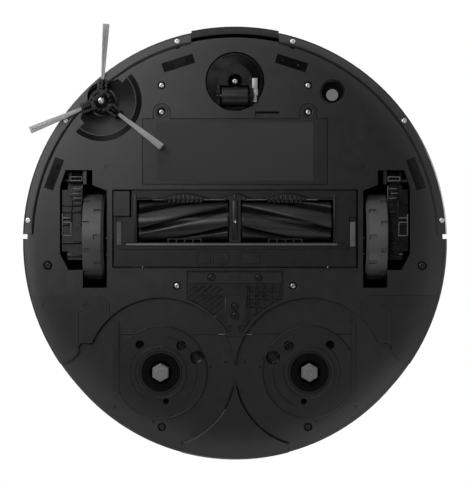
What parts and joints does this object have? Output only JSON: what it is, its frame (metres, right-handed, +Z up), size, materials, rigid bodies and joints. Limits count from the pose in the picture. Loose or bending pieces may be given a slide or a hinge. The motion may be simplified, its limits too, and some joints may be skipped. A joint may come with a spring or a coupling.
{
  "type": "robot vacuum",
  "caption": "Round robot vacuum with a sliding bumper, side brush, main brush under a guard, drive wheels, caster and mop drives.",
  "frame": {"origin": "on the floor below the centre of the round bumper, which is the centre of the body in plan", "axes": "+Z up, +Y towards the front, +X to the machine's right-hand side seen from above with the front up"},
  "size_m": [0.35, 0.3605, 0.097],
  "materials": {
    "chassis_plastic": "fine texture",
    "shell_plastic": "satin",
    "panel_plastic": "fine texture",
    "inner_plastic": "satin",
    "lens_plastic": "gloss",
    "sensor_window": "gloss",
    "grey_plastic": "satin",
    "silver_steel": "satin",
    "dark_steel": "satin",
    "shaft_steel": "satin",
    "soft_rubber": "matte",
    "tyre_rubber": "matte",
    "bristle_nylon": "matte",
    "battery_wrap": "satin",
    "board": "satin",
    "motor_metal": "satin",
    "contact_metal": "satin",
    "filter_paper": "matte",
    "clear_smoke": "gloss"
  },
  "bodies": {
    "body": {"chassis_base": "chassis_plastic", "corner_panel_left": "panel_plastic", "corner_panel_right": "panel_plastic", "mop_cover_left": "panel_plastic", "mop_cover_right": "panel_plastic", "mop_seal_rings": "soft_rubber", "mop_gearmotors": "inner_plastic", "rear_side_shell": "shell_plastic", "top_shell": "shell_plastic", "battery_cover": "panel_plastic", "battery_screws": "silver_steel", "battery_pack": "inner_plastic", "battery_cells": "battery_wrap", "chassis_screws": "silver_steel", "dark_screws": "dark_steel", "cliff_windows": "sensor_window", "carpet_sensor": "motor_metal", "brush_chamber": "inner_plastic", "brush_motor": "inner_plastic", "brush_bearings": "inner_plastic", "port_frame": "panel_plastic", "port_bar": "panel_plastic", "port_plate": "panel_plastic", "caster_socket": "inner_plastic", "side_brush_motor": "motor_metal", "main_board": "board", "fan_housing": "inner_plastic", "lidar_turret": "shell_plastic", "lidar_base": "inner_plastic", "charging_contacts": "contact_metal", "dust_bin": "clear_smoke", "dust_filter": "filter_paper"},
    "bumper": {"bumper_shell": "shell_plastic", "bumper_lens": "lens_plastic", "bumper_screws": "silver_steel"},
    "side_brush": {"side_brush_hub": "inner_plastic", "side_brush_bristles": "bristle_nylon"},
    "caster": {"caster_fork": "panel_plastic"},
    "caster_wheel": {"caster_roller": "soft_rubber"},
    "arm_left": {"suspension_arm_left": "inner_plastic", "wheel_motor_left": "inner_plastic"},
    "arm_right": {"suspension_arm_right": "inner_plastic", "wheel_motor_right": "inner_plastic"},
    "wheel_left": {"tyre_left": "tyre_rubber", "wheel_hub_left": "inner_plastic"},
    "wheel_right": {"tyre_right": "tyre_rubber", "wheel_hub_right": "inner_plastic"},
    "brush": {"brush_core": "inner_plastic", "brush_fins": "soft_rubber"},
    "guard": {"brush_guard": "panel_plastic", "guard_wiper": "grey_plastic"},
    "latch_l": {"latch_left": "grey_plastic"},
    "latch_r": {"latch_right": "grey_plastic"},
    "mop_l": {"mop_shaft_left": "shaft_steel"},
    "mop_r": {"mop_shaft_right": "shaft_steel"},
    "lidar": {"lidar_rotor": "inner_plastic"},
    "power": {"power_button": "grey_plastic"},
    "home": {"home_button": "grey_plastic"},
    "lid": {"top_lid": "shell_plastic"},
    "fan": {"fan_impeller": "grey_plastic"}
  },
  "joints": [
    {"name": "bumper_push", "type": "slide", "parent": "body", "child": "bumper", "axis": [0, -1, 0], "range_m": [0, 0.0035], "stiffness_N_per_m": 600, "springref_m": -0.002},
    {"name": "side_brush_spin", "type": "hinge", "parent": "body", "child": "side_brush", "pos_m": [0.1101, 0.115, 0.01], "axis": [0, 0, 1], "continuous": true},
    {"name": "caster_swivel", "type": "hinge", "parent": "body", "child": "caster", "pos_m": [0, 0.1313, 0.015], "axis": [0, 0, 1], "continuous": true},
    {"name": "caster_roll", "type": "hinge", "parent": "caster", "child": "caster_wheel", "pos_m": [0, 0.1189, 0.0074], "axis": [1, 0, 0], "continuous": true},
    {"name": "arm_drop_left", "type": "hinge", "parent": "body", "child": "arm_left", "pos_m": [0.1346, 0.0495, 0.024], "axis": [1, 0, 0], "range_deg": [0, 20], "stiffness_Nm_per_rad": 0.5, "springref_deg": 25.21},
    {"name": "arm_drop_right", "type": "hinge", "parent": "body", "child": "arm_right", "pos_m": [-0.1346, 0.0495, 0.024], "axis": [1, 0, 0], "range_deg": [0, 20], "stiffness_Nm_per_rad": 0.5, "springref_deg": 25.21},
    {"name": "wheel_spin_left", "type": "hinge", "parent": "arm_left", "child": "wheel_left", "pos_m": [0.1169, 0.003, 0.036], "axis": [1, 0, 0], "continuous": true},
    {"name": "wheel_spin_right", "type": "hinge", "parent": "arm_right", "child": "wheel_right", "pos_m": [-0.1169, 0.003, 0.036], "axis": [1, 0, 0], "continuous": true},
    {"name": "main_brush_spin", "type": "hinge", "parent": "body", "child": "brush", "pos_m": [0, 0.0164, 0.02], "axis": [1, 0, 0], "continuous": true},
    {"name": "guard_release", "type": "slide", "parent": "body", "child": "guard", "axis": [0, 0, -1], "range_m": [0, 0.02]},
    {"name": "latch_slide_left", "type": "slide", "parent": "guard", "child": "latch_l", "axis": [0, 1, 0], "range_m": [0, 0.004], "stiffness_N_per_m": 30, "springref_m": -0.004},
    {"name": "latch_slide_right", "type": "slide", "parent": "guard", "child": "latch_r", "axis": [0, 1, 0], "range_m": [0, 0.004], "stiffness_N_per_m": 30, "springref_m": -0.004},
    {"name": "mop_spin_left", "type": "hinge", "parent": "body", "child": "mop_l", "pos_m": [0.0614, -0.1088, 0.015], "axis": [0, 0, 1], "continuous": true},
    {"name": "mop_spin_right", "type": "hinge", "parent": "body", "child": "mop_r", "pos_m": [-0.0614, -0.1088, 0.015], "axis": [0, 0, 1], "continuous": true},
    {"name": "lidar_spin", "type": "hinge", "parent": "body", "child": "lidar", "pos_m": [0, -0.118, 0.085], "axis": [0, 0, 1], "continuous": true},
    {"name": "power_press", "type": "slide", "parent": "body", "child": "power", "axis": [0, 0, -1], "range_m": [0, 0.0008], "stiffness_N_per_m": 200, "springref_m": -0.001},
    {"name": "home_press", "type": "slide", "parent": "body", "child": "home", "axis": [0, 0, -1], "range_m": [0, 0.0008], "stiffness_N_per_m": 200, "springref_m": -0.001},
    {"name": "lid_open", "type": "hinge", "parent": "body", "child": "lid", "pos_m": [0, -0.063, 0.0786], "axis": [1, 0, 0], "range_deg": [0, 80]},
    {"name": "fan_spin", "type": "hinge", "parent": "body", "child": "fan", "pos_m": [-0.108, 0.088, 0.045], "axis": [0, 0, 1], "continuous": true}
  ]
}
